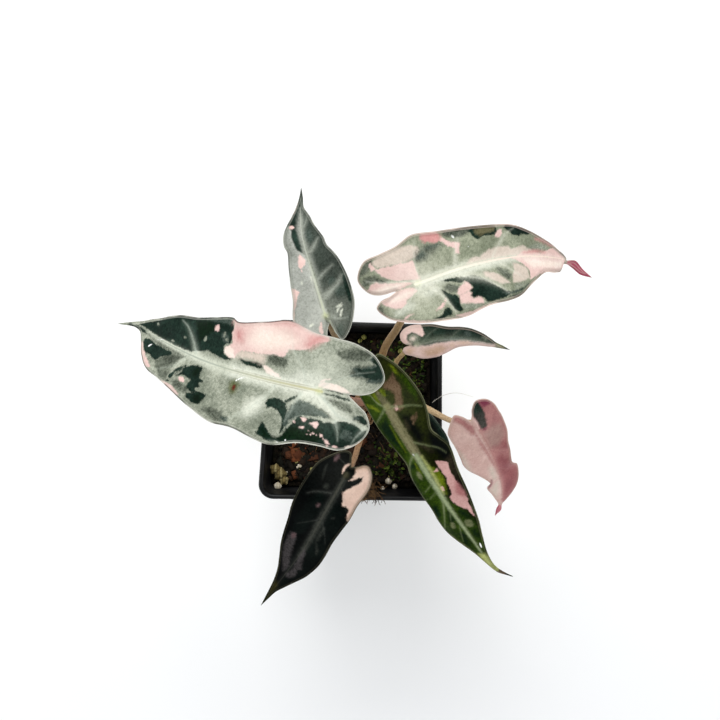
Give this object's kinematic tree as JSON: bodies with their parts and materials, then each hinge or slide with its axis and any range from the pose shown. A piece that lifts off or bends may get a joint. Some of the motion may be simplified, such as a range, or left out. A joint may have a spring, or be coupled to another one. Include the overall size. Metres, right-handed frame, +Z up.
{
  "type": "potted aroid house plant",
  "caption": "Small variegated alocasia with arrow-shaped, waved leaves on slender stalks, growing from one corm in a thin square black nursery pot of bark soil.",
  "frame": {"origin": "middle of the pot's underside, on the surface that it stands on", "axes": "+Z up; +X to the right and +Y to the top of the picture, which looks straight down on the plant"},
  "size_m": [0.1926, 0.1932, 0.219],
  "materials": {
    "pot_plastic": "satin",
    "bark_soil": "matte",
    "corm": "matte",
    "stalk": "satin",
    "silver_leaf": "satin",
    "cream_leaf": "satin",
    "green_leaf": "satin",
    "pink_leaf": "satin",
    "dark_leaf": "satin"
  },
  "bodies": {
    "root": {"pot": "pot_plastic", "soil": "bark_soil", "corm": "corm", "stalk_left": "stalk", "stalk_right": "stalk", "stalk_back": "stalk", "stalk_small": "stalk", "stalk_front": "stalk", "stalk_pink": "stalk", "stalk_dark": "stalk", "stalk_old": "stalk", "blade_left": "silver_leaf", "blade_right": "cream_leaf", "blade_back": "silver_leaf", "blade_small": "cream_leaf", "blade_front": "green_leaf", "blade_pink": "pink_leaf", "blade_dark": "dark_leaf", "blade_old": "dark_leaf"}
  },
  "joints": []
}
